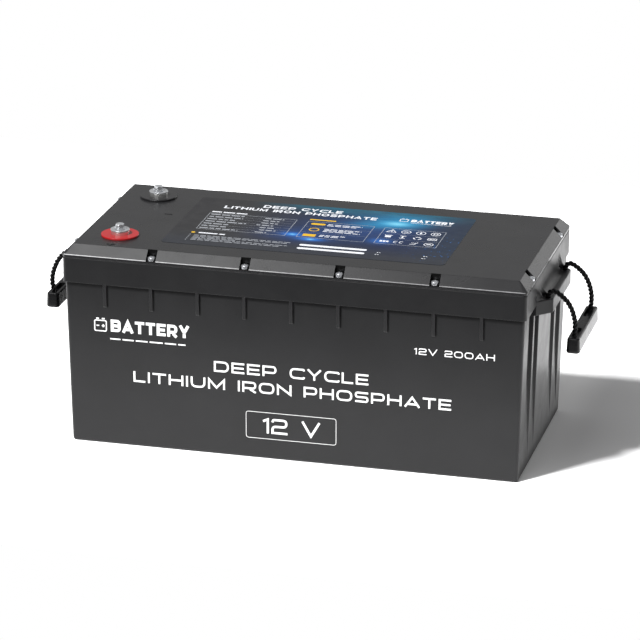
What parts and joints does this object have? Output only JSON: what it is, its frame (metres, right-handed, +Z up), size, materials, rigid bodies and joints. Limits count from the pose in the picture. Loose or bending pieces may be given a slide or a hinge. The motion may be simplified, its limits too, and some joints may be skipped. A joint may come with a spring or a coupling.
{
  "type": "deep cycle battery",
  "caption": "Sealed rectangular leisure battery in a ribbed plastic case, with a chamfered screwed lid, red and black bolt terminals and a rope carrying handle at each end.",
  "frame": {"origin": "centre of the case's flat bottom face, on the ground", "axes": "+X along the case's length, away from the terminal end; -Y out of the front long side; +Z up"},
  "size_m": [0.5758, 0.238, 0.2306],
  "materials": {
    "case_plastic": "dark grey ABS, lightly textured satin",
    "grip_plastic": "near black satin polypropylene",
    "red_plastic": "glossy moulded red",
    "black_plastic": "glossy moulded black",
    "label_film": "printed polyester film, semi-gloss",
    "zinc_steel": "bright zinc plated steel",
    "plated_post": "turned brass post, bright nickel plated",
    "busbar_metal": "bare rolled aluminium",
    "spreader_metal": "milled aluminium plate",
    "cell_can": "aluminium can in blue insulating film",
    "plate_laminate": "glass-epoxy laminate",
    "board_laminate": "green solder mask",
    "gasket_rubber": "matt sealing rubber",
    "foam": "closed-cell foam",
    "red_cable": "silicone insulation",
    "black_cable": "silicone insulation",
    "rope": "black braided polyester"
  },
  "bodies": {
    "root": {"bms_board": "board_laminate", "bms_heat_spreader": "spreader_metal", "busbar_1": "busbar_metal", "busbar_2": "busbar_metal", "busbar_3": "busbar_metal", "case": "case_plastic", "cell_1": "cell_can", "cell_2": "cell_can", "cell_3": "cell_can", "cell_4": "cell_can", "cell_negative_cable": "black_cable", "cell_spacer_1": "plate_laminate", "cell_spacer_2": "plate_laminate", "cell_spacer_3": "plate_laminate", "end_foam": "foam", "end_plate_front": "plate_laminate", "end_plate_rear": "plate_laminate", "left_back_rope_end": "rope", "left_front_rope_end": "rope", "lid": "case_plastic", "lid_gasket": "gasket_rubber", "lid_screw_01": "zinc_steel", "lid_screw_02": "zinc_steel", "lid_screw_03": "zinc_steel", "lid_screw_04": "zinc_steel", "lid_screw_05": "zinc_steel", "lid_screw_06": "zinc_steel", "lid_screw_07": "zinc_steel", "lid_screw_08": "zinc_steel", "lid_screw_09": "zinc_steel", "lid_screw_10": "zinc_steel", "lid_screw_11": "zinc_steel", "lid_screw_12": "zinc_steel", "negative_cable": "black_cable", "negative_terminal_collar": "black_plastic", "negative_terminal_post": "plated_post", "positive_cable": "red_cable", "positive_terminal_collar": "red_plastic", "positive_terminal_post": "plated_post", "right_back_rope_end": "rope", "right_front_rope_end": "rope", "top_label": "label_film"},
    "right_rope_lower": {"right_front_rope_lower": "rope", "right_back_rope_lower": "rope"},
    "right_rope_middle": {"right_front_rope_middle": "rope", "right_back_rope_middle": "rope"},
    "right_grip_bar": {"right_grip_rope": "rope", "right_grip": "grip_plastic"},
    "left_rope_lower": {"left_front_rope_lower": "rope", "left_back_rope_lower": "rope"},
    "left_rope_middle": {"left_front_rope_middle": "rope", "left_back_rope_middle": "rope"},
    "left_grip_bar": {"left_grip_rope": "rope", "left_grip": "grip_plastic"},
    "positive_washers": {"positive_flat_washer": "zinc_steel", "positive_spring_washer": "zinc_steel"},
    "positive_bolt": {"positive_terminal_bolt": "zinc_steel"},
    "negative_washers": {"negative_flat_washer": "zinc_steel", "negative_spring_washer": "zinc_steel"},
    "negative_bolt": {"negative_terminal_bolt": "zinc_steel"}
  },
  "joints": [
    {"name": "right_handle_raise", "type": "hinge", "parent": "root", "child": "right_rope_lower", "pos_m": [0.2544, 0, 0.1846], "axis": [0, -1, 0], "range_deg": [-10, 63.43]},
    {"name": "right_rope_bend", "type": "hinge", "parent": "right_rope_lower", "child": "right_rope_middle", "pos_m": [0.2618, 0, 0.1883], "axis": [0, -1, 0], "range_deg": [-10.77, 68.02]},
    {"name": "right_grip_swing", "type": "hinge", "parent": "right_rope_middle", "child": "right_grip_bar", "pos_m": [0.2796, 0, 0.1726], "axis": [0, -1, 0], "range_deg": [-6.77, 42.7]},
    {"name": "left_handle_raise", "type": "hinge", "parent": "root", "child": "left_rope_lower", "pos_m": [-0.2544, 0, 0.1846], "axis": [0, 1, 0], "range_deg": [-10, 63.43]},
    {"name": "left_rope_bend", "type": "hinge", "parent": "left_rope_lower", "child": "left_rope_middle", "pos_m": [-0.2618, 0, 0.1883], "axis": [0, 1, 0], "range_deg": [-11.62, 73.45]},
    {"name": "left_grip_swing", "type": "hinge", "parent": "left_rope_middle", "child": "left_grip_bar", "pos_m": [-0.2784, 0, 0.1706], "axis": [0, 1, 0], "range_deg": [-6.92, 43.61]},
    {"name": "positive_washer_lift", "type": "slide", "parent": "root", "child": "positive_washers", "axis": [0, 0, 1], "range_m": [0, 0.008]},
    {"name": "positive_bolt_turn", "type": "hinge", "parent": "positive_washers", "child": "positive_bolt", "pos_m": [-0.1975, -0.0705, 0.228], "axis": [0, 0, 1], "range_deg": [0, 2890]},
    {"name": "negative_washer_lift", "type": "slide", "parent": "root", "child": "negative_washers", "axis": [0, 0, 1], "range_m": [0, 0.008]},
    {"name": "negative_bolt_turn", "type": "hinge", "parent": "negative_washers", "child": "negative_bolt", "pos_m": [-0.1975, 0.0705, 0.228], "axis": [0, 0, 1], "range_deg": [0, 2890]}
  ],
  "couplings": [
    {"joint": "right_rope_bend", "follows": "right_handle_raise", "ratio": 1.0716},
    {"joint": "right_grip_swing", "follows": "right_handle_raise", "ratio": 0.67243},
    {"joint": "left_rope_bend", "follows": "left_handle_raise", "ratio": 1.1571},
    {"joint": "left_grip_swing", "follows": "left_handle_raise", "ratio": 0.68675},
    {"joint": "positive_bolt_turn", "follows": "positive_washer_lift", "rad_per_m": 6283.2},
    {"joint": "negative_bolt_turn", "follows": "negative_washer_lift", "rad_per_m": 6283.2}
  ]
}
